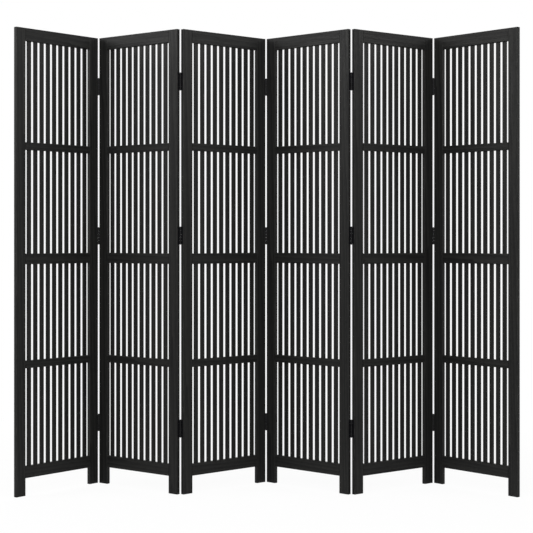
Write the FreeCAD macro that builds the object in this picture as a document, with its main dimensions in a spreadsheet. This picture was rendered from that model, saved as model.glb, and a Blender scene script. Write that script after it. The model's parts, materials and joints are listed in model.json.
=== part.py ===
"""Six-panel folding screen: slatted, black-painted wood panels joined by butt hinges.

Every panel is a frame of two stiles and five rails with ten thin upright slats. The rails are tenoned into
the stiles. The slats run in one length from the bottom rail to the top rail and pass through slots in the
three rails between. Each pair of neighbouring stiles carries three butt hinges with their leaves let into
the stile edges. The pins stand at the front faces at one joint and at the back faces at the next, so the
screen folds up like an accordion.

Each panel is drawn in its own frame: X along the panel from the left stile, Y from the front face to the
back, Z up from the floor. The panels are then turned and placed into a zigzag whose middle is the origin.
"""
import FreeCAD, Part
import math
import os
import re

import Sketcher

# Millimetres and degrees. Each size is written once here and lives in the sheet under its name.
SIZES = {
    # Frame of one panel
    "panel_width": 400.0,
    "panel_thickness": 15.0,
    "stile_width": 43.0,
    "foot_height": 64.0,
    "bottom_rail_height": 44.0,
    "cross_rail_height": 28.0,
    "middle_rail_height": 39.0,
    "top_rail_height": 47.0,
    "first_bay_height": 355.0,
    "second_bay_height": 350.0,
    "third_bay_height": 377.0,
    "fourth_bay_height": 368.0,
    "edge_radius": 2.0,
    # Joint between rail and stile
    "tenon_thickness": 5.0,
    "tenon_shoulder": 6.0,
    "mortise_wall": 18.0,
    "glue_room": 1.0,
    "wood_clearance": 0.1,
    # Slats
    "slat_count": 10,
    "slat_width": 18.5,
    "slat_thickness": 5.0,
    "slat_seat_depth": 12.0,
    "slat_edge_radius": 0.8,
    # Hinges
    "hinge_length": 64.0,
    "pin_diameter": 3.2,
    "pin_head_diameter": 4.8,
    "pin_head_height": 1.2,
    "leaf_thickness": 1.2,
    "leaf_setback": 3.0,
    "leaf_corner_radius": 2.0,
    "leaf_recess": 0.6,
    "pin_stand_off": 0.25,
    "running_clearance": 0.05,
    "knuckle_clearance": 0.3,
    # Heights of the hinges, which differ a little between pins at the front faces and pins at the back faces
    "front_top_hinge_drop": 185.0,
    "front_middle_hinge_rise": 84.0,
    "front_bottom_hinge_height": 231.0,
    "back_top_hinge_drop": 191.0,
    "back_middle_hinge_rise": 85.0,
    "back_bottom_hinge_height": 240.0,
    # Hinge screws
    "screw_length": 14.0,
    "screw_diameter": 2.6,
    "screw_head_diameter": 5.2,
    "screw_tip_length": 3.0,
    "screw_slot_width": 0.8,
    "screw_slot_depth": 0.5,
    "screw_end_distance": 12.0,
    "screw_clearance": 0.05,
    # Angle of each panel to the line of the screen as it stands
    "first_panel_angle": 49.8,
    "second_panel_angle": 38.3,
    "third_panel_angle": 41.5,
    "fourth_panel_angle": 41.8,
    "fifth_panel_angle": 38.1,
    "sixth_panel_angle": 48.3,
}

PANEL_COUNT = 6
KNUCKLE_COUNT = 5
X_AXIS = FreeCAD.Vector(1, 0, 0)
Y_AXIS = FreeCAD.Vector(0, 1, 0)
Z_AXIS = FreeCAD.Vector(0, 0, 1)
NO_TURN = FreeCAD.Rotation()
SAME = 1e-6

# Sizes that follow from the ones above
OPENING = "(panel_width - 2 * stile_width)"
TENON_LENGTH = "(stile_width - mortise_wall)"
SLAT_PITCH = f"(({OPENING} + slat_width) / (slat_count + 1))"
FIRST_SLAT = f"(stile_width + {SLAT_PITCH} - slat_width)"
BOTTOM_RAIL = "foot_height"
LOWER_RAIL = f"({BOTTOM_RAIL} + bottom_rail_height + first_bay_height)"
MIDDLE_RAIL = f"({LOWER_RAIL} + cross_rail_height + second_bay_height)"
UPPER_RAIL = f"({MIDDLE_RAIL} + middle_rail_height + third_bay_height)"
TOP_RAIL = f"({UPPER_RAIL} + cross_rail_height + fourth_bay_height)"
PANEL_HEIGHT = f"({TOP_RAIL} + top_rail_height)"
BORE_RADIUS = "(pin_diameter / 2 + running_clearance)"
BARREL_RADIUS = f"({BORE_RADIUS} + leaf_thickness)"
PIN_DISTANCE = f"({BARREL_RADIUS} - leaf_recess)"
LEAF_REACH = "(pin_stand_off + panel_thickness - leaf_setback)"
SCREW_LINE = "((panel_thickness - leaf_setback) / 2)"
SCREW_RISE = "(hinge_length / 2 - screw_end_distance)"
HINGE_HEIGHTS = {
    face: (
        f"{face}_bottom_hinge_height",
        f"({MIDDLE_RAIL} + middle_rail_height / 2 + {face}_middle_hinge_rise)",
        f"({PANEL_HEIGHT} - {face}_top_hinge_drop)",
    )
    for face in ("front", "back")
}
RAILS = {
    "bottom_rail": (BOTTOM_RAIL, "bottom_rail_height"),
    "lower_rail": (LOWER_RAIL, "cross_rail_height"),
    "middle_rail": (MIDDLE_RAIL, "middle_rail_height"),
    "upper_rail": (UPPER_RAIL, "cross_rail_height"),
    "top_rail": (TOP_RAIL, "top_rail_height"),
}

doc = FreeCAD.newDocument("folding_screen")
sheet = doc.addObject("Spreadsheet::Sheet", "sizes")
for line, (name, number) in enumerate(SIZES.items(), start=1):
    sheet.set(f"A{line}", name)
    sheet.set(f"B{line}", str(number))
    sheet.setAlias(f"B{line}", name)
doc.recompute()


def bound(expression):
    """The expression with each size's name pointing at its cell."""
    return re.sub(r"[a-z_]+", lambda word: f"sizes.{word[0]}" if word[0] in SIZES else word[0], expression)


def value(expression):
    """The number that an expression of sizes has now."""
    return float(sheet.evalExpression(bound(expression)))


def bind(thing, **expressions):
    """Binds properties of an object to expressions of sizes."""
    for prop, expression in expressions.items():
        thing.setExpression(prop, bound(expression))


def new_sketch(body, plane, height="0"):
    """An empty sketch on one of the body's own planes, raised along the plane's normal."""
    sketch = body.newObject("Sketcher::SketchObject", "sketch")
    base = next(item for item in body.Origin.OriginFeatures if item.Role == plane)
    sketch.AttachmentSupport = [(base, "")]
    sketch.MapMode = "FlatFace"
    sketch.AttachmentOffset = FreeCAD.Placement(Z_AXIS * value(height), NO_TURN)
    sketch.setExpression("AttachmentOffset.Base.z", bound(height))
    return sketch


def place_point(sketch, edge, end, x, y):
    """Dimensions one end of a sketch edge from the sketch's origin."""
    for kind, expression in (("DistanceX", x), ("DistanceY", y)):
        index = sketch.addConstraint(Sketcher.Constraint(kind, -1, 1, edge, end, value(expression)))
        sketch.setExpression(f"Constraints[{index}]", bound(expression))


def polygon(sketch, corners):
    """A closed outline through corners given as pairs of expressions."""
    points = [FreeCAD.Vector(value(x), value(y), 0) for x, y in corners]
    first = sketch.GeometryCount
    for start, end in zip(points, points[1:] + points[:1]):
        sketch.addGeometry(Part.LineSegment(start, end), False)
    for step, (x, y) in enumerate(corners):
        following = first + (step + 1) % len(corners)
        sketch.addConstraint(Sketcher.Constraint("Coincident", first + step, 2, following, 1))
        place_point(sketch, first + step, 1, x, y)


def rectangle(sketch, left, bottom, width, height):
    """A rectangle from its lower left corner, width and height."""
    right = f"{left} + {width}"
    top = f"{bottom} + {height}"
    polygon(sketch, [(left, bottom), (right, bottom), (right, top), (left, top)])


def circle(sketch, x, y, radius):
    """A circle from its centre and radius."""
    centre = FreeCAD.Vector(value(x), value(y), 0)
    edge = sketch.addGeometry(Part.Circle(centre, Z_AXIS, value(radius)), False)
    place_point(sketch, edge, 3, x, y)
    index = sketch.addConstraint(Sketcher.Constraint("Radius", edge, value(radius)))
    sketch.setExpression(f"Constraints[{index}]", bound(radius))


def pad(body, sketch, length):
    """Extrudes a sketch along its normal."""
    feature = body.newObject("PartDesign::Pad", "pad")
    feature.Profile = sketch
    bind(feature, Length=length)
    doc.recompute()
    return feature


def pocket(body, sketch, depth, along_normal=False):
    """Cuts a sketch into the body, against its normal unless asked, and makes sure that it took wood away."""
    before = body.Shape.Volume
    feature = body.newObject("PartDesign::Pocket", "pocket")
    feature.Profile = sketch
    feature.Reversed = along_normal
    bind(feature, Length=depth)
    doc.recompute()
    if body.Shape.Volume > before - 0.01:
        raise RuntimeError(f"{body.Label}: a pocket cut nothing")
    return feature


def repeat(body, originals, sketch, count, length):
    """Repeats features along X."""
    feature = body.newObject("PartDesign::LinearPattern", "repeat")
    feature.Originals = originals
    feature.Direction = (sketch, ["H_Axis"])
    bind(feature, Length=length, Occurrences=count)
    body.Tip = feature
    doc.recompute()
    return feature


def along(direction):
    """Picks the edges that run along a direction."""
    return lambda edge: abs(abs(edge.tangentAt(edge.FirstParameter).dot(direction)) - 1) < SAME


def round_edges(body, base, radius, picked):
    """Fillets the straight edges of a feature that a test picks."""
    names = []
    for index, edge in enumerate(base.Shape.Edges, start=1):
        if edge.Curve.TypeId == "Part::GeomLine" and picked(edge):
            names.append(f"Edge{index}")
    feature = body.newObject("PartDesign::Fillet", "eased_edges")
    feature.Base = (base, names)
    bind(feature, Radius=radius)
    doc.recompute()
    return feature


def new_body(label):
    """An empty body."""
    return doc.addObject("PartDesign::Body", label)


def hinge_face(number, side):
    """Whether a panel's hinges on one side stand at the front or the back face, or there are none."""
    joint = number if side == "right" else number - 1
    if joint in (0, PANEL_COUNT):
        return None
    return "front" if joint % 2 == 1 else "back"


def stile(label, number, side):
    """An upright with mortises for the rails, and shallow recesses and pilot bores for the hinges."""
    body = new_body(label)
    outer, inner = ("0", "stile_width") if side == "left" else ("panel_width", "(panel_width - stile_width)")
    start = "0" if side == "left" else inner
    section = new_sketch(body, "XY_Plane")
    rectangle(section, start, "0", "stile_width", "panel_thickness")
    upright = pad(body, section, PANEL_HEIGHT)
    round_edges(body, upright, "edge_radius", lambda edge: True)
    mortises = new_sketch(body, "YZ_Plane", inner)
    for bottom, height in RAILS.values():
        rectangle(
            mortises,
            "(panel_thickness - tenon_thickness) / 2 - wood_clearance",
            f"{bottom} + tenon_shoulder - wood_clearance",
            "tenon_thickness + 2 * wood_clearance",
            f"{height} - 2 * tenon_shoulder + 2 * wood_clearance",
        )
    pocket(body, mortises, f"{TENON_LENGTH} + glue_room", along_normal=side == "right")
    face = hinge_face(number, side)
    if face:
        recesses = new_sketch(body, "YZ_Plane", outer)
        front = "-edge_radius" if face == "front" else "leaf_setback - wood_clearance"
        for height in HINGE_HEIGHTS[face]:
            rectangle(
                recesses,
                front,
                f"{height} - hinge_length / 2 - wood_clearance",
                "panel_thickness - leaf_setback + wood_clearance + edge_radius",
                "hinge_length + 2 * wood_clearance",
            )
        pocket(body, recesses, "leaf_recess", along_normal=side == "left")
        across = SCREW_LINE if face == "front" else f"panel_thickness - {SCREW_LINE}"
        bores = new_sketch(body, "YZ_Plane", outer)
        for height in HINGE_HEIGHTS[face]:
            for sign in ("-", "+"):
                circle(bores, across, f"{height} {sign} {SCREW_RISE}", "screw_diameter / 2 + screw_clearance")
        depth = "leaf_recess + screw_length - leaf_thickness + glue_room"
        pocket(body, bores, depth, along_normal=side == "left")
    return body


def rail(label, bottom, height, slot_start, slot_depth):
    """A rail between the stiles with a tenon at each end and a row of slots for the slats."""
    body = new_body(label)
    section = new_sketch(body, "YZ_Plane", "stile_width")
    rectangle(section, "0", bottom, "panel_thickness", height)
    bar = pad(body, section, OPENING)
    round_edges(body, bar, "edge_radius", along(X_AXIS))
    tenons = new_sketch(body, "YZ_Plane", f"stile_width - {TENON_LENGTH}")
    rectangle(
        tenons,
        "(panel_thickness - tenon_thickness) / 2",
        f"{bottom} + tenon_shoulder",
        "tenon_thickness",
        f"{height} - 2 * tenon_shoulder",
    )
    pad(body, tenons, f"{OPENING} + 2 * {TENON_LENGTH}")
    slot = new_sketch(body, "XY_Plane", slot_start)
    rectangle(
        slot,
        f"{FIRST_SLAT} - wood_clearance",
        "(panel_thickness - slat_thickness) / 2 - wood_clearance",
        "slat_width + 2 * wood_clearance",
        "slat_thickness + 2 * wood_clearance",
    )
    first = pocket(body, slot, slot_depth, along_normal=True)
    repeat(body, [first], slot, "slat_count", f"{SLAT_PITCH} * (slat_count - 1)")
    return body


def slats(label):
    """The row of slats, which stand in the bottom rail's slots and reach up into the top rail's."""
    body = new_body(label)
    body.AllowCompound = True
    foot = f"({BOTTOM_RAIL} + bottom_rail_height - slat_seat_depth)"
    section = new_sketch(body, "XY_Plane", foot)
    rectangle(section, FIRST_SLAT, "(panel_thickness - slat_thickness) / 2", "slat_width", "slat_thickness")
    first = pad(body, section, f"{TOP_RAIL} + slat_seat_depth - glue_room - {foot}")
    round_edges(body, first, "slat_edge_radius", along(Z_AXIS))
    pattern = repeat(body, [], section, "slat_count", f"{SLAT_PITCH} * (slat_count - 1)")
    pattern.TransformMode = "Whole shape"
    doc.recompute()
    return body


def hinge_leaf(label, knuckles):
    """A hinge leaf about its pin: a plate rolled into a barrel, with gaps for the other leaf's knuckles."""
    body = new_body(label)
    barrel = value(BARREL_RADIUS)
    inside = value(f"-({BORE_RADIUS})")
    reach = value(LEAF_REACH)
    rise = math.sqrt(barrel**2 - inside**2)
    section = new_sketch(body, "XY_Plane", "-hinge_length / 2")
    outer_face = Part.LineSegment(FreeCAD.Vector(-barrel, 0, 0), FreeCAD.Vector(-barrel, reach, 0))
    free_edge = Part.LineSegment(FreeCAD.Vector(-barrel, reach, 0), FreeCAD.Vector(inside, reach, 0))
    inner_face = Part.LineSegment(FreeCAD.Vector(inside, reach, 0), FreeCAD.Vector(inside, rise, 0))
    turn = Part.Circle(FreeCAD.Vector(0, 0, 0), Z_AXIS, barrel)
    roll = Part.ArcOfCircle(turn, -math.pi, math.atan2(rise, inside))
    section.addGeometry([outer_face, free_edge, inner_face, roll], False)
    section.addConstraint(Sketcher.Constraint("Coincident", 0, 2, 1, 1))
    section.addConstraint(Sketcher.Constraint("Coincident", 1, 2, 2, 1))
    section.addConstraint(Sketcher.Constraint("Coincident", 2, 2, 3, 2))
    section.addConstraint(Sketcher.Constraint("Coincident", 3, 3, -1, 1))
    section.addConstraint(Sketcher.Constraint("Coincident", 0, 1, 3, 1))
    section.addConstraint(Sketcher.Constraint("Vertical", 2))
    place_point(section, 0, 1, f"-{BARREL_RADIUS}", "0")
    place_point(section, 1, 1, f"-{BARREL_RADIUS}", LEAF_REACH)
    place_point(section, 2, 1, f"-{BORE_RADIUS}", LEAF_REACH)
    circle(section, "0", "0", BORE_RADIUS)
    plate = pad(body, section, "hinge_length")
    across_plate = along(X_AXIS)
    at_free_edge = lambda edge: across_plate(edge) and abs(edge.CenterOfMass.y - reach) < SAME
    round_edges(body, plate, "leaf_corner_radius", at_free_edge)
    pitch = f"((hinge_length + knuckle_clearance) / {KNUCKLE_COUNT})"
    gaps = new_sketch(body, "YZ_Plane", BARREL_RADIUS)
    for index in range(KNUCKLE_COUNT):
        if index in knuckles:
            continue
        rectangle(
            gaps,
            f"-2 * {BARREL_RADIUS}",
            f"-hinge_length / 2 + {index} * {pitch} - knuckle_clearance",
            f"3 * {BARREL_RADIUS} + knuckle_clearance",
            f"{pitch} + knuckle_clearance",
        )
    pocket(body, gaps, f"2 * {BARREL_RADIUS}")
    for sign in ("-", "+"):
        hole = new_sketch(body, "YZ_Plane", f"-{BORE_RADIUS}")
        centre = ("pin_stand_off + " + SCREW_LINE, f"{sign} {SCREW_RISE}")
        circle(hole, *centre, "screw_diameter / 2 + screw_clearance")
        pocket(body, hole, "leaf_thickness")
        countersink(body, centre)
    return body


def countersink(body, centre):
    """The cone that a screw head sits in, as deep as the leaf is thick."""
    along, up = centre
    cone = body.newObject("PartDesign::SubtractiveCone", "countersink")
    base = next(item for item in body.Origin.OriginFeatures if item.Role == "YZ_Plane")
    cone.AttachmentSupport = [(base, "")]
    cone.MapMode = "FlatFace"
    bind(
        cone,
        Radius1="screw_diameter / 2 + screw_clearance",
        Radius2="screw_head_diameter / 2 + screw_clearance",
        Height="leaf_thickness",
    )
    cone.setExpression("AttachmentOffset.Base.x", bound(along))
    cone.setExpression("AttachmentOffset.Base.y", bound(up))
    cone.setExpression("AttachmentOffset.Base.z", bound(f"-{BARREL_RADIUS}"))
    doc.recompute()


def revolve(body, sketch, axis):
    """Turns a sketch once round one of its own axes."""
    feature = body.newObject("PartDesign::Revolution", "turned")
    feature.Profile = sketch
    feature.ReferenceAxis = (sketch, [axis])
    feature.Angle = 360
    doc.recompute()
    return feature


def hinge_pin(label):
    """A hinge pin with its two ends riveted over the barrel."""
    body = new_body(label)
    shank = "pin_diameter / 2"
    head = "pin_head_diameter / 2"
    top = "hinge_length / 2 + pin_head_height"
    profile = new_sketch(body, "XZ_Plane")
    polygon(
        profile,
        [
            ("0", f"-({top})"),
            (shank, f"-({top})"),
            (head, f"-({top}) + pin_head_height / 2"),
            (head, "-hinge_length / 2"),
            (shank, "-hinge_length / 2"),
            (shank, "hinge_length / 2"),
            (head, "hinge_length / 2"),
            (head, f"{top} - pin_head_height / 2"),
            (shank, top),
            ("0", top),
        ],
    )
    revolve(body, profile, "V_Axis")
    return body


def hinge_screw(label):
    """A countersunk wood screw along -X with the top of its slotted head at the origin."""
    body = new_body(label)
    shank = "screw_diameter / 2"
    profile = new_sketch(body, "XY_Plane")
    polygon(
        profile,
        [
            ("0", "0"),
            ("0", "screw_head_diameter / 2"),
            ("-leaf_thickness", shank),
            ("-screw_length + screw_tip_length", shank),
            ("-screw_length", "0"),
        ],
    )
    revolve(body, profile, "H_Axis")
    slot = new_sketch(body, "YZ_Plane")
    across = ("-screw_head_diameter", "-screw_slot_width / 2", "2 * screw_head_diameter", "screw_slot_width")
    rectangle(slot, *across)
    pocket(body, slot, "screw_slot_depth")
    return body


def pin_position(side, face):
    """Where a hinge pin stands in a panel's own frame."""
    x = value(f"panel_width + {PIN_DISTANCE}") if side == "right" else value(f"-{PIN_DISTANCE}")
    y = value("-pin_stand_off") if face == "front" else value("panel_thickness + pin_stand_off")
    return FreeCAD.Vector(x, y, 0)


# A leaf is drawn for the right side of a panel with its pin in front. Half a turn about one axis suits it to
# each other side and face.
LEAF_TURNS = {
    ("right", "front"): NO_TURN,
    ("right", "back"): FreeCAD.Rotation(X_AXIS, 180),
    ("left", "front"): FreeCAD.Rotation(Y_AXIS, 180),
    ("left", "back"): FreeCAD.Rotation(Z_AXIS, 180),
}


def hinge_places(number, side):
    """The placement of each hinge on one side of a panel, in the panel's own frame."""
    face = hinge_face(number, side)
    if not face:
        return []
    base = pin_position(side, face)
    turn = LEAF_TURNS[side, face]
    return [FreeCAD.Placement(base + Z_AXIS * value(height), turn) for height in HINGE_HEIGHTS[face]]


def copies(label, pairs):
    """One sub-part made of copies of drawn pieces, each at its place."""
    group = doc.addObject("Part::Compound", label)
    links = []
    for source, place in pairs:
        link = doc.addObject("App::Link", f"{label}_piece")
        link.LinkedObject = source
        link.Placement = place
        links.append(link)
    group.Links = links
    doc.recompute()
    return group


def panel_places():
    """Where the panels stand: a zigzag stepped from hinge pin to hinge pin, its middle over the origin."""
    order = ("first", "second", "third", "fourth", "fifth", "sixth")
    angles = [value(f"{name}_panel_angle") for name in order]
    places = []
    for number, angle in enumerate(angles, start=1):
        turn = FreeCAD.Rotation(Z_AXIS, angle if number % 2 == 1 else -angle)
        base = FreeCAD.Vector()
        if places:
            face = hinge_face(number, "left")
            base = places[-1].multVec(pin_position("right", face)) - turn.multVec(pin_position("left", face))
        places.append(FreeCAD.Placement(base, turn))
    width, thickness = value("panel_width"), value("panel_thickness")
    outline = [FreeCAD.Vector(x, y, 0) for x in (0, width) for y in (0, thickness)]
    corners = [place.multVec(point) for place in places for point in outline]
    middle_x = (min(point.x for point in corners) + max(point.x for point in corners)) / 2
    middle_y = (min(point.y for point in corners) + max(point.y for point in corners)) / 2
    for place in places:
        place.Base = place.Base - FreeCAD.Vector(middle_x, middle_y, 0)
    return places


def build_panel(number, place, pieces):
    """All sub-parts of one panel, turned and moved to where it stands."""
    name = f"panel_{number}"
    parts = []
    for side in ("left", "right"):
        parts.append(stile(f"{name}_{side}_stile", number, side))
    seat_floor = f"{BOTTOM_RAIL} + bottom_rail_height - slat_seat_depth"
    parts.append(rail(f"{name}_bottom_rail", *RAILS["bottom_rail"], seat_floor, "slat_seat_depth"))
    parts.append(rail(f"{name}_middle_rail", *RAILS["middle_rail"], MIDDLE_RAIL, "middle_rail_height"))
    parts.append(rail(f"{name}_top_rail", *RAILS["top_rail"], TOP_RAIL, "slat_seat_depth"))
    lifts = ("0", f"{UPPER_RAIL} - {LOWER_RAIL}")
    cross_rails = [(pieces["cross_rail"], FreeCAD.Placement(Z_AXIS * value(lift), NO_TURN)) for lift in lifts]
    parts.append(copies(f"{name}_cross_rails", cross_rails))
    parts.append(slats(f"{name}_slats"))
    leaves, screws, pins = [], [], []
    for side, leaf in (("left", pieces["two_knuckle_leaf"]), ("right", pieces["three_knuckle_leaf"])):
        for hinge in hinge_places(number, side):
            leaves.append((leaf, hinge))
            for sign in ("-", "+"):
                head = [f"-{BORE_RADIUS}", f"pin_stand_off + {SCREW_LINE}", f"{sign} {SCREW_RISE}"]
                offset = FreeCAD.Vector(*[value(expression) for expression in head])
                screws.append((pieces["screw"], hinge * FreeCAD.Placement(offset, NO_TURN)))
            if side == "right":
                pins.append((pieces["pin"], hinge))
    parts.append(copies(f"{name}_hinge_leaves", leaves))
    parts.append(copies(f"{name}_hinge_screws", screws))
    if pins:
        parts.append(copies(f"hinge_pins_{number}_{number + 1}", pins))
    for part in parts:
        part.Placement = place
    return parts


shared_pieces = {
    "cross_rail": rail("cross_rail", *RAILS["lower_rail"], LOWER_RAIL, "cross_rail_height"),
    "three_knuckle_leaf": hinge_leaf("three_knuckle_leaf", (0, 2, 4)),
    "two_knuckle_leaf": hinge_leaf("two_knuckle_leaf", (1, 3)),
    "pin": hinge_pin("hinge_pin"),
    "screw": hinge_screw("hinge_screw"),
}
places = panel_places()
nodes = []
for number, place in enumerate(places, start=1):
    nodes += build_panel(number, place, shared_pieces)
doc.recompute()

for item in doc.Objects:
    if "Invalid" in item.State or "Error" in item.State:
        raise RuntimeError(f"{item.Label} did not build: {item.State}")
for node in nodes:
    if node.Shape.isNull() or not node.Shape.isValid():
        raise RuntimeError(f"{node.Label} has no valid shape")

os.makedirs("parts", exist_ok=True)
for node in nodes:
    node.Shape.exportStep(f"parts/{node.Label}.step")
    print(f"{node.Label}: {len(node.Shape.Solids)} solids, {node.Shape.Volume / 1000:.2f} cm3")
for number, place in enumerate(places[:-1], start=1):
    pin = place.multVec(pin_position("right", hinge_face(number, "right")))
    print(f"hinge line {number}-{number + 1} at x {pin.x:.4f}, y {pin.y:.4f}")
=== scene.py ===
# %% [markdown]
# # A slatted folding screen
# Six framed panels of painted wood stand in a zigzag and fold up on small steel butt hinges. The solids come
# ready made and in place, in metres, so this lesson gives them their finishes, a studio and a camera. Every piece
# here is a plain stick or a small stamped part with eased edges, and its solid already has that shape, so none is
# remodelled: what is missing is paint, grain, wear and light.

# %% Load the solids
import json
import math

import bpy
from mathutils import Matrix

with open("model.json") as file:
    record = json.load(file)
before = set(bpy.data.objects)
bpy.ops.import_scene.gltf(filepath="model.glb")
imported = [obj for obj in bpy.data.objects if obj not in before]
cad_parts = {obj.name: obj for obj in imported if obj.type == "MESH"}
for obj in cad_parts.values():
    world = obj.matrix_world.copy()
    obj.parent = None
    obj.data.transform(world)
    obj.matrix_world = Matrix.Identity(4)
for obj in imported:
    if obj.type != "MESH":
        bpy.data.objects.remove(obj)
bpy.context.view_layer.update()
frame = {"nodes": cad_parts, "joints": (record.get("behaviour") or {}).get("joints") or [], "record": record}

# %% [markdown]
# ## Which way each panel faces
# Wood grain follows the board. Uprights have it along Z, but a rail runs along its own panel, and the six panels
# stand at different angles. The feet give those angles without any table: a panel's direction is the line from its
# left foot to its right foot.

# %% Panel directions
feet = {mount["name"]: mount["pos_m"] for mount in frame["record"]["mounts"]}
panel_turn = {}
for number in range(1, 7):
    left, right = feet[f"panel_{number}_left_foot"], feet[f"panel_{number}_right_foot"]
    panel_turn[number] = math.atan2(right[1] - left[1], right[0] - left[0])
print("panel turns in degrees:", {n: round(math.degrees(turn), 1) for n, turn in panel_turn.items()})

# %% [markdown]
# ## Helpers for finishes
# Paint colours are written as they would be on a colour card, in sRGB hex, and Blender mixes light in linear
# values, so one function turns the one into the other. The second adds a node with its settings and links in one
# line, so that a finish reads from top to bottom as a recipe. The third starts a finish with an empty node tree,
# and the last one puts a finished material on a solid.

# %% Colour, node and material helpers
def linear(hex_code):
    """A colour card's sRGB hex value as linear red, green, blue and alpha."""
    parts = [int(hex_code[i:i + 2], 16) / 255 for i in (1, 3, 5)]
    return (*(p / 12.92 if p <= 0.04045 else ((p + 0.055) / 1.055) ** 2.4 for p in parts), 1.0)


def add(tree, kind, inputs=None, **settings):
    """Adds one node. A value in inputs that is another node's output is linked, and any other value is set."""
    made = tree.nodes.new(kind)
    for name, value in settings.items():
        setattr(made, name, value)
    for name, value in (inputs or {}).items():
        if isinstance(value, bpy.types.NodeSocket):
            tree.links.new(value, made.inputs[name])
        else:
            made.inputs[name].default_value = value
    return made


def blank_finish(name):
    """A new material with nothing in its node tree, and that tree."""
    material = bpy.data.materials.new(name)
    material.use_nodes = True
    material.node_tree.nodes.clear()
    return material, material.node_tree


def finish_node(name, material):
    """Gives a solid its finish, in the slots that it came with."""
    for slot in frame["nodes"][name].material_slots:
        slot.material = material


print("charcoal card as linear:", [round(c, 4) for c in linear("#262626")[:3]])

# %% [markdown]
# ## Black satin paint on wood
# The frame and slats are a light softwood, planed, sanded and sprayed with black paint. The coat is thin, so the
# eye still finds the wood below it: the growth rings, the short dashes of the pores, the ridges of the fibre, and a
# satin sheen that breaks up with them. End grain drinks the paint and dries duller. On the eased edges the coat is
# thinnest, and handling rubs it a little greyer.
# The pattern could be an image, but a picture repeats and blurs close up. Bands and noise that are worked out from
# the place on the board have neither fault, and drawn long in the direction of the board they look like timber.

# %% Sizes of the grain, in metres
RING_WIDTH = 0.009      # growth rings on a flat-sawn softwood face are 3 to 15 mm apart
RING_LENGTH = 0.35      # and wander sideways within a third of a metre
FIBRE_WIDTH = 0.003     # fibre ridges are under 1 mm wide, drawn three times as coarse so that they show
FIBRE_LENGTH = 0.12
PORE_WIDTH = 0.0012     # pores are 0.3 mm wide, drawn four times as coarse so that they show
PORE_LENGTH = 0.018
PEEL_WIDTH = 0.004      # sprayed paint dries with a faint dimpling of 2 to 4 mm
RUB_WIDTH = 0.035       # hands rub an edge in patches a few centimetres long
print("one ring spans", round(RING_WIDTH * 1000), "mm and one fibre ridge", round(FIBRE_WIDTH * 1000), "mm")

# %% [markdown]
# ### Where a point is on its board
# Grain needs a direction and a place. Turning each point back by its panel's angle makes X run along the panel and
# keeps Z upright, so the same recipe fits all six panels. If every board started at the same place they would all
# show the same rings, so each one is shifted by its own random number, as if cut from another spot of the trunk.
# The face's direction is turned the same way: its parts tell later which faces are ends and which are rounded.

# %% Place and facing on a board
TRUNK_SPREAD = (3.1, 4.7, 5.3)      # boards lie up to this many metres apart in the trunk


def board_place(tree, turn):
    """The texture coordinates, a point's spot in the trunk, and how squarely it faces the board's directions."""
    place = add(tree, "ShaderNodeTexCoord")
    on_panel = add(tree, "ShaderNodeVectorRotate", {"Vector": place.outputs["Object"], "Angle": -turn},
                   rotation_type="Z_AXIS")
    board = add(tree, "ShaderNodeObjectInfo")
    spot = add(tree, "ShaderNodeVectorMath",
               {0: board.outputs["Random"], 1: TRUNK_SPREAD, 2: on_panel.outputs[0]}, operation="MULTIPLY_ADD")
    normal = add(tree, "ShaderNodeVectorRotate", {"Vector": place.outputs["Normal"], "Angle": -turn},
                 rotation_type="Z_AXIS")
    facing = add(tree, "ShaderNodeVectorMath", {0: normal.outputs[0]}, operation="ABSOLUTE")
    return place, spot.outputs[0], facing.outputs[0]


print("boards are cut from a trunk of", TRUNK_SPREAD, "m")

# %% [markdown]
# ### Rings, fibre and pores
# A growth ring darkens slowly through the summer and ends sharply in winter, which is a saw-tooth band, and no
# trunk is straight, so the bands are pushed about. Fibre and pores are noise. All three are drawn long by dividing
# the place by a small width across the board and by a large length along it.

# %% Draw the grain
BAND_REPEAT = math.pi / 10          # this scale makes the band node repeat once per unit


def wood_grain(tree, spot, across, along):
    """Growth rings, fibre and pores as three values from 0 to 1."""
    def drawn_long(width, length):
        """The spot in units of a width across the board and a length along it."""
        shrink = [c / width + a / length for c, a in zip(across, along)]
        return add(tree, "ShaderNodeVectorMath", {0: spot, 1: shrink}, operation="MULTIPLY").outputs[0]

    rings = add(tree, "ShaderNodeTexWave",
                {"Vector": drawn_long(RING_WIDTH, RING_LENGTH), "Scale": BAND_REPEAT, "Distortion": 9.0,
                 "Detail": 2.0, "Detail Scale": 0.9, "Detail Roughness": 0.45},
                wave_profile="SAW", bands_direction="DIAGONAL")
    fibre = add(tree, "ShaderNodeTexNoise",
                {"Vector": drawn_long(FIBRE_WIDTH, FIBRE_LENGTH), "Scale": 1.0, "Detail": 2.0})
    dashes = add(tree, "ShaderNodeTexNoise",
                 {"Vector": drawn_long(PORE_WIDTH, PORE_LENGTH), "Scale": 1.0, "Detail": 1.0})
    # only the peaks of the noise are pores, so that they stay apart
    pores = add(tree, "ShaderNodeMapRange", {"Value": dashes.outputs["Fac"], "From Min": 0.62, "From Max": 0.74})
    return rings.outputs["Fac"], fibre.outputs["Fac"], pores.outputs[0]


print("rings on a hand's width of board:", round(0.1 / RING_WIDTH))

# %% [markdown]
# ### Rubbed edges
# A flat face looks straight along one of the board's three directions. On an eased edge no direction wins, so the
# largest part of the facing drops below 1, and that finds every edge without marking any by hand. Hands do not rub
# evenly, so patches of noise decide how much of the edge is worn.

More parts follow.
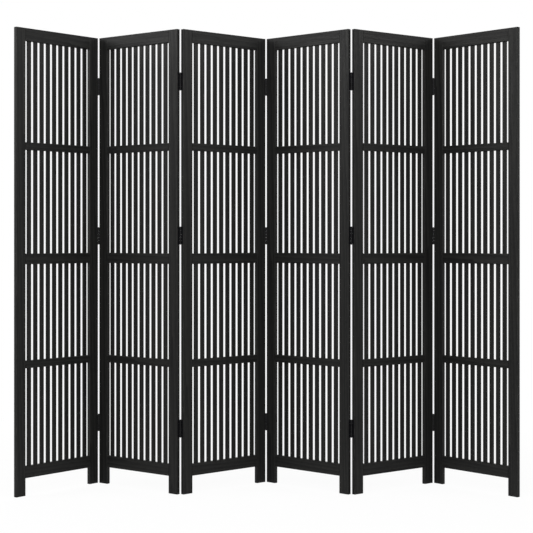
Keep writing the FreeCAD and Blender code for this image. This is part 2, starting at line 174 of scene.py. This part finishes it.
# %% Find the rubbed edges
def rubbed_edges(tree, place, facing):
    """How far handling has thinned the coat, from 0 to 1."""
    parts = add(tree, "ShaderNodeSeparateXYZ", {0: facing})
    larger = add(tree, "ShaderNodeMath", {0: parts.outputs[0], 1: parts.outputs[1]}, operation="MAXIMUM")
    largest = add(tree, "ShaderNodeMath", {0: larger.outputs[0], 1: parts.outputs[2]}, operation="MAXIMUM")
    edge = add(tree, "ShaderNodeMapRange", {"Value": largest.outputs[0], "From Min": 0.995, "From Max": 0.85})
    patches = add(tree, "ShaderNodeTexNoise",
                  {"Vector": place.outputs["Object"], "Scale": 1 / RUB_WIDTH, "Detail": 3.0})
    handled = add(tree, "ShaderNodeMapRange", {"Value": patches.outputs["Fac"], "From Min": 0.45, "From Max": 0.7})
    return add(tree, "ShaderNodeMath", {0: edge.outputs[0], 1: handled.outputs[0]}, operation="MULTIPLY").outputs[0]


print("rubbed patches are about", round(RUB_WIDTH * 1000), "mm long")

# %% [markdown]
# ### Colour of the coat
# Black paint on wood is not one black. It is a shade greyer over early wood and darker over late wood, darkest where
# it sank into pores, and warm grey where an edge is rubbed. The differences are small on purpose: from across a
# room the screen is simply black.

# %% Colour the coat
EARLY_WOOD, LATE_WOOD = "#222221", "#151515"
FILLED_PORE, RUBBED_EDGE = "#0d0d0d", "#2f2e2d"


def coat_colour(tree, grain, pores, rubbed):
    """The colour of the paint, from the wood below it and the wear on it."""
    tone = add(tree, "ShaderNodeValToRGB", {"Fac": grain})
    early, late = tone.color_ramp.elements
    early.position, early.color = 0.25, linear(EARLY_WOOD)
    late.position, late.color = 0.75, linear(LATE_WOOD)
    filled = add(tree, "ShaderNodeMix", {"Factor": pores, 6: tone.outputs["Color"], 7: linear(FILLED_PORE)},
                 data_type="RGBA")
    coat = add(tree, "ShaderNodeMix", {"Factor": rubbed, 6: filled.outputs[2], 7: linear(RUBBED_EDGE)},
               data_type="RGBA")
    return coat.outputs[2]


print("coat runs from", EARLY_WOOD, "to", LATE_WOOD)

# %% [markdown]
# ### Sheen and relief of the coat
# Satin paint has a roughness of about 0.4 to 0.5. It follows the fibre, and end grain, the face that looks along the
# board, is duller by a good step. The relief is a few tenths of a millimetre: fibre and rings stand up, pores sink
# in, and the spray dimples everything a little. A bump is enough for that, because it never shows in an outline.

# %% Sheen and relief
SATIN = (0.40, 0.52)                # roughness in the valleys of the fibre and on its ridges
END_GRAIN_DULLING = 0.2
COAT_RELIEF = 0.0006                # metres


def coat_sheen(tree, fibre, facing, along):
    """The roughness of the paint."""
    sheen = add(tree, "ShaderNodeMapRange", {"Value": fibre, "From Min": 0.3, "From Max": 0.7,
                                             "To Min": SATIN[0], "To Max": SATIN[1]})
    end_on = add(tree, "ShaderNodeVectorMath", {0: facing, 1: along}, operation="DOT_PRODUCT")
    end_grain = add(tree, "ShaderNodeMapRange", {"Value": end_on.outputs["Value"], "From Min": 0.85,
                                                 "From Max": 0.98, "To Max": END_GRAIN_DULLING})
    return add(tree, "ShaderNodeMath", {0: sheen.outputs[0], 1: end_grain.outputs[0]}, operation="ADD").outputs[0]


def coat_relief(tree, place, grain, fibre, pores):
    """The bumped direction of the painted face."""
    peel = add(tree, "ShaderNodeTexNoise",
               {"Vector": place.outputs["Object"], "Scale": 1 / PEEL_WIDTH, "Detail": 1.0})
    raised = add(tree, "ShaderNodeMath", {0: fibre, 1: 0.8, 2: grain}, operation="MULTIPLY_ADD")
    sunk = add(tree, "ShaderNodeMath", {0: pores, 1: -0.5, 2: raised.outputs[0]}, operation="MULTIPLY_ADD")
    dimpled = add(tree, "ShaderNodeMath", {0: peel.outputs["Fac"], 1: 0.3, 2: sunk.outputs[0]},
                  operation="MULTIPLY_ADD")
    return add(tree, "ShaderNodeBump", {"Height": dimpled.outputs[0], "Strength": 0.4,
                                        "Distance": COAT_RELIEF}).outputs[0]


print("roughness", SATIN, "and on end grain up to", SATIN[1] + END_GRAIN_DULLING)

# %% [markdown]
# ### The recipe, and the boards it goes on
# Now the parts come together in one material. Paint has an IOR of about 1.45. Its specular level is well below the
# usual, because this black is dull: a full one would mirror the white room and turn grey.
# The recipe is used twice on each panel: with the grain upright for stiles and slats, and with the grain along
# the panel for the rails. Each time it is told the directions across the board and the one along it.

# %% The painted wood
PAINT_IOR = 1.45
PAINT_SPECULAR = 0.09
FIBRE_SHARE = 0.55                  # how much of the tone comes from fibre, the rest from rings


def satin_paint(name, turn, across, along):
    """Black satin paint on a board whose panel is turned by that angle, with the grain in the direction along."""
    material, tree = blank_finish(name)
    place, spot, facing = board_place(tree, turn)
    rings, fibre, pores = wood_grain(tree, spot, across, along)
    grain = add(tree, "ShaderNodeMix", {"Factor": FIBRE_SHARE, 2: rings, 3: fibre}).outputs[0]
    rubbed = rubbed_edges(tree, place, facing)
    paint = add(tree, "ShaderNodeBsdfPrincipled",
                {"Base Color": coat_colour(tree, grain, pores, rubbed),
                 "Roughness": coat_sheen(tree, fibre, facing, along),
                 "Normal": coat_relief(tree, place, grain, fibre, pores),
                 "IOR": PAINT_IOR, "Specular IOR Level": PAINT_SPECULAR})
    add(tree, "ShaderNodeOutputMaterial", {"Surface": paint.outputs[0]})
    return material


# %% Paint the panels
GRAIN_UP = ((1, 1, 0), (0, 0, 1))
GRAIN_ALONG_PANEL = ((0, 1, 1), (1, 0, 0))
UPRIGHTS = ("left_stile", "right_stile", "slats")
RAILS = ("top_rail", "middle_rail", "bottom_rail", "cross_rails")

for number, turn in panel_turn.items():
    upright_paint = satin_paint(f"satin_black_paint_on_uprights_{number}", turn, *GRAIN_UP)
    rail_paint = satin_paint(f"satin_black_paint_on_rails_{number}", turn, *GRAIN_ALONG_PANEL)
    for piece in UPRIGHTS:
        finish_node(f"panel_{number}_{piece}", upright_paint)
    for piece in RAILS:
        finish_node(f"panel_{number}_{piece}", rail_paint)
    print("painted panel", number)

# %% [markdown]
# ## Black hinges: where the barrels are
# A hinge leaf is stamped from sheet steel and rolled round the pin at one edge. The rolled barrel wears in another
# way than the flat, so the finish has to know the two apart. Painting the solid's faces one by one would do it, but
# the joints already say where each hinge line is: whatever lies within a barrel's radius of that line is barrel.

# %% Tell the barrels from the flats
BARREL_REACH = 0.003    # the rolled barrels are 5.7 mm across, and the flat of a leaf starts outside that
BARREL_BLEND = 0.0003
hinge_lines = {joint["name"]: joint["pos_m"] for joint in frame["joints"]}


def barrel_share(tree, place, lines):
    """1 on the barrels round the given upright lines and 0 on the flat of the leaves."""
    reach = None
    for line in lines:
        offset = add(tree, "ShaderNodeVectorMath", {0: place.outputs["Object"], 1: line}, operation="SUBTRACT")
        level = add(tree, "ShaderNodeVectorMath", {0: offset.outputs[0], 1: (1, 1, 0)}, operation="MULTIPLY")
        away = add(tree, "ShaderNodeVectorMath", {0: level.outputs[0]}, operation="LENGTH").outputs["Value"]
        reach = away if reach is None else add(tree, "ShaderNodeMath", {0: reach, 1: away},
                                               operation="MINIMUM").outputs[0]
    return add(tree, "ShaderNodeMapRange", {"Value": reach, "From Min": BARREL_REACH + BARREL_BLEND,
                                            "From Max": BARREL_REACH}).outputs[0]


print("hinge lines:", {name: [round(v, 3) for v in place[:2]] for name, place in hinge_lines.items()})

# %% [markdown]
# ## Black enamel on the leaves
# The leaves are dipped in matt black enamel. A dipped coat runs a little before it sets, so it pools in soft clouds,
# and it is blacker and duller than the paint on the wood. Every time the screen is folded the knuckles rub on each
# other, which polishes fine rings round the barrel and lets the grey of the steel come through.

# %% Enamel the leaves
ENAMEL_POOL = 0.006     # metres between one thick place of the enamel and the next
RUB_RING = 0.001        # rubbed rings are hair lines, drawn 1 mm apart so that they show
ENAMEL_THIN, ENAMEL_THICK, RUBBED_BARREL = "#08080a", "#0e0e10", "#2c2c2d"
ENAMEL_IOR = 1.5
ENAMEL_SPECULAR = 0.04  # dead matt
ENAMEL_RELIEF = 0.0002


def leaf_enamel(name, lines):
    """Matt black enamel on stamped leaves, rubbed smoother and greyer on the barrels round the given lines."""
    material, tree = blank_finish(name)
    place = add(tree, "ShaderNodeTexCoord")
    barrel = barrel_share(tree, place, lines)
    pooling = add(tree, "ShaderNodeTexNoise",
                  {"Vector": place.outputs["Object"], "Scale": 1 / ENAMEL_POOL, "Detail": 3.0})
    # squeezed in X and Y, the noise changes only with height, which makes rings
    ring_place = add(tree, "ShaderNodeVectorMath", {0: place.outputs["Object"], 1: (0.05, 0.05, 1.0)},
                     operation="MULTIPLY")
    rings = add(tree, "ShaderNodeTexNoise", {"Vector": ring_place.outputs[0], "Scale": 1 / RUB_RING, "Detail": 1.0})
    rubbing = add(tree, "ShaderNodeMapRange", {"Value": rings.outputs["Fac"], "From Min": 0.2, "From Max": 0.8})
    rubbed = add(tree, "ShaderNodeMath", {0: barrel, 1: rubbing.outputs[0]}, operation="MULTIPLY")
    coat = add(tree, "ShaderNodeValToRGB", {"Fac": pooling.outputs["Fac"]})
    thin, thick = coat.color_ramp.elements
    thin.position, thin.color = 0.35, linear(ENAMEL_THIN)
    thick.position, thick.color = 0.7, linear(ENAMEL_THICK)
    shown = add(tree, "ShaderNodeMix", {"Factor": rubbed.outputs[0], 6: coat.outputs["Color"],
                                        7: linear(RUBBED_BARREL)}, data_type="RGBA")
    sheen = add(tree, "ShaderNodeMapRange", {"Value": barrel, "To Min": 0.58, "To Max": 0.4})
    bump = add(tree, "ShaderNodeBump", {"Height": pooling.outputs["Fac"], "Strength": 0.3,
                                        "Distance": ENAMEL_RELIEF})
    enamel = add(tree, "ShaderNodeBsdfPrincipled",
                 {"Base Color": shown.outputs[2], "Roughness": sheen.outputs[0], "Normal": bump.outputs[0],
                  "IOR": ENAMEL_IOR, "Specular IOR Level": ENAMEL_SPECULAR})
    add(tree, "ShaderNodeOutputMaterial", {"Surface": enamel.outputs[0]})
    return material


for number in panel_turn:
    lines = [hinge_lines[f"fold_{a}_{a + 1}"] for a in (number - 1, number) if f"fold_{a}_{a + 1}" in hinge_lines]
    finish_node(f"panel_{number}_hinge_leaves", leaf_enamel(f"matt_black_enamel_on_leaves_{number}", lines))
print("enamelled the leaves of", len(panel_turn), "panels")

# %% [markdown]
# ## Blackened steel on pins and screws
# Pins and screws are plain steel, blackened in a hot bath: still a metal to the eye, but a very dark one. The bath
# leaves a cloudy film, and where the film is thin the steel is a shade lighter and smoother. One noise drives the
# colour, the gloss and the relief together, because on the real piece they have one cause.

# %% Blacken the pins and screws
FILM_SPOT = 0.0015      # the bath's spots are 1 to 2 mm across
FILM_RELIEF = 0.0001


def blackened_steel(name, dark, bare, roughness):
    """Hot-blackened steel: a dark metal whose black is worn thin in spots."""
    material, tree = blank_finish(name)
    place = add(tree, "ShaderNodeTexCoord")
    film = add(tree, "ShaderNodeTexNoise", {"Vector": place.outputs["Object"], "Scale": 1 / FILM_SPOT, "Detail": 3.0})
    worn = add(tree, "ShaderNodeMapRange", {"Value": film.outputs["Fac"], "From Min": 0.5, "From Max": 0.75})
    coat = add(tree, "ShaderNodeMix", {"Factor": worn.outputs[0], 6: linear(dark), 7: linear(bare)},
               data_type="RGBA")
    sheen = add(tree, "ShaderNodeMapRange", {"Value": film.outputs["Fac"], "From Min": 0.3, "From Max": 0.7,
                                             "To Min": roughness + 0.08, "To Max": roughness - 0.06})
    bump = add(tree, "ShaderNodeBump", {"Height": film.outputs["Fac"], "Strength": 0.2, "Distance": FILM_RELIEF})
    steel = add(tree, "ShaderNodeBsdfPrincipled",
                {"Base Color": coat.outputs[2], "Roughness": sheen.outputs[0], "Metallic": 1.0,
                 "Normal": bump.outputs[0]})
    add(tree, "ShaderNodeOutputMaterial", {"Surface": steel.outputs[0]})
    return material


pin_steel = blackened_steel("hot_blackened_steel_pins", "#262628", "#4a4a4c", 0.40)
screw_steel = blackened_steel("hot_blackened_steel_screws", "#242426", "#444446", 0.38)
for name in frame["nodes"]:
    if "hinge_pins" in name:
        finish_node(name, pin_steel)
    elif "hinge_screws" in name:
        finish_node(name, screw_steel)
print("blackened:", pin_steel.name, screw_steel.name)

# %% [markdown]
# ## The camera
# The picture was taken level, from a little over half the height of the screen and from far enough back that the
# uprights stay parallel. A camera that tips down would make the uprights lean, so the picture is framed the way a
# view camera does it: the camera stays level and the film is shifted, just enough to put the screen in the middle
# of the frame. Focal length, height and distance come from fitting the panel edges.

# %% Set up the camera
IMAGE_SIZE = 533                            # pixels, square
FOCAL_PIXELS = 1408.8
HORIZON_ROW = 234.9                         # the row of the picture that is level with the camera
CAMERA_PLACE = (-0.0019, -5.249, 0.948)     # metres
camera_data = bpy.data.cameras.new("view_camera")
camera_data.sensor_width = 36.0
camera_data.lens = FOCAL_PIXELS / IMAGE_SIZE * camera_data.sensor_width
camera_data.shift_y = (HORIZON_ROW - IMAGE_SIZE / 2) / IMAGE_SIZE
camera = bpy.data.objects.new("view_camera", camera_data)
camera.location = CAMERA_PLACE
camera.rotation_euler = (math.radians(90), 0, 0)
scene = bpy.context.scene
scene.collection.objects.link(camera)
scene.camera = camera
print("lens in mm:", round(camera_data.lens, 1), "shift:", round(camera_data.shift_y, 4))

# %% [markdown]
# ## The white surround
# A catalogue picture is taken in front of pure white. If that white also lit the screen it would wash the black out,
# so the two jobs are kept apart: rays that come straight from the camera, or off a mirror, or through something
# clear find white, and rays that gather light for a matt surface find a dimmer grey.

# %% Make the surround
SURROUND_LIGHT = 0.35
SURROUND_SEEN = 1.0
scene.view_settings.view_transform = "Standard"


def seen_directly(tree):
    """1 for rays that show a thing, and 0 for rays that only gather its light."""
    ray = add(tree, "ShaderNodeLightPath")
    mirrored = add(tree, "ShaderNodeMath", {0: ray.outputs["Is Camera Ray"], 1: ray.outputs["Is Glossy Ray"]},
                   operation="MAXIMUM")
    return add(tree, "ShaderNodeMath", {0: mirrored.outputs[0], 1: ray.outputs["Is Transmission Ray"]},
               operation="MAXIMUM").outputs[0]


world = bpy.data.worlds.new("studio")
scene.world = world
world.use_nodes = True
tree = world.node_tree
tree.nodes.clear()
level = add(tree, "ShaderNodeMapRange", {"Value": seen_directly(tree), "To Min": SURROUND_LIGHT,
                                         "To Max": SURROUND_SEEN})
surround = add(tree, "ShaderNodeBackground", {"Color": linear("#ffffff"), "Strength": level.outputs[0]})
add(tree, "ShaderNodeOutputWorld", {"Surface": surround.outputs[0]})
print("surround lights at", SURROUND_LIGHT, "and shows as", SURROUND_SEEN)

# %% [markdown]
# ## The floor
# Pale floor and pale backdrop run into each other, with no line between them. The floor is a disc of matt white
# paint that is mostly lit from within, as on a light table. Near the feet a little of the paint still shows, just
# enough to take a faint shadow, and further out it fades to the same pure white as the surround.

# %% Lay the floor
FLOOR_RADIUS = 6.0
FLOOR_DROP = 0.0005                 # just under the feet, so that the two never share a plane
FADE_FROM, FADE_TO = 0.9, 2.4       # metres from the middle
WHITE_NEAR, WHITE_FAR = 0.94, 1.0   # share of pure white in what the camera sees
bpy.ops.mesh.primitive_circle_add(vertices=96, radius=FLOOR_RADIUS, fill_type="NGON", location=(0, 0, -FLOOR_DROP))
floor = bpy.context.object
floor.name = "studio_floor"
floor_paint, tree = blank_finish("matt_white_floor_paint")
place = add(tree, "ShaderNodeTexCoord")
reach = add(tree, "ShaderNodeVectorMath", {0: place.outputs["Object"]}, operation="LENGTH")
fade = add(tree, "ShaderNodeMapRange",
           {"Value": reach.outputs["Value"], "From Min": FADE_FROM, "From Max": FADE_TO, "To Min": WHITE_NEAR,
            "To Max": WHITE_FAR}, interpolation_type="SMOOTHSTEP")
share = add(tree, "ShaderNodeMath", {0: seen_directly(tree), 1: fade.outputs[0]}, operation="MULTIPLY")
matt = add(tree, "ShaderNodeBsdfDiffuse", {"Color": linear("#e6e6e6")})
glow = add(tree, "ShaderNodeEmission", {"Color": linear("#ffffff"), "Strength": 1.0})
mixed = add(tree, "ShaderNodeMixShader", {0: share.outputs[0], 1: matt.outputs[0], 2: glow.outputs[0]})
add(tree, "ShaderNodeOutputMaterial", {"Surface": mixed.outputs[0]})
floor.data.materials.append(floor_paint)
print("floor radius in metres:", FLOOR_RADIUS)

# %% [markdown]
# ## Light
# Black paint shows its form by what it mirrors, so the lamps are large and soft. One at the left and a weaker one at
# the right give the panels that face left and those that face right two different tones, strongest near the top.
# One above and one high behind the camera reach into the valleys between the panels, and one behind keeps the back
# of the screen readable.

# %% Hang the softboxes
def softbox(name, place, aim, width, height, watts):
    """A rectangular soft lamp at a place, turned towards a point."""
    lamp = bpy.data.lights.new(name, "AREA")
    lamp.shape = "RECTANGLE"
    lamp.size, lamp.size_y, lamp.energy = width, height, watts
    hung = bpy.data.objects.new(name, lamp)
    hung.location = place
    away = [p - a for p, a in zip(place, aim)]
    flat = math.hypot(away[0], away[1])
    hung.rotation_euler = (math.atan2(flat, away[2]), 0, math.atan2(away[0], -away[1]))
    hung.visible_camera = False
    scene.collection.objects.link(hung)
    print(name, "at", place, "with", watts, "W")


softbox("softbox_left", (-4.0, -1.0, 2.5), (0, 0, 1.5), 2.0, 0.9, 90)
softbox("softbox_right", (4.0, -1.0, 2.5), (0, 0, 1.5), 2.0, 0.9, 45)
softbox("softbox_top", (0.0, -1.4, 3.6), (0, 0, 1.0), 2.4, 0.8, 45)
softbox("softbox_front", (0.0, -5.0, 2.8), (0, 0, 0.9), 3.0, 1.2, 140)
softbox("softbox_back", (0.0, 3.6, 2.9), (0, 0, 1.0), 2.8, 1.2, 60)
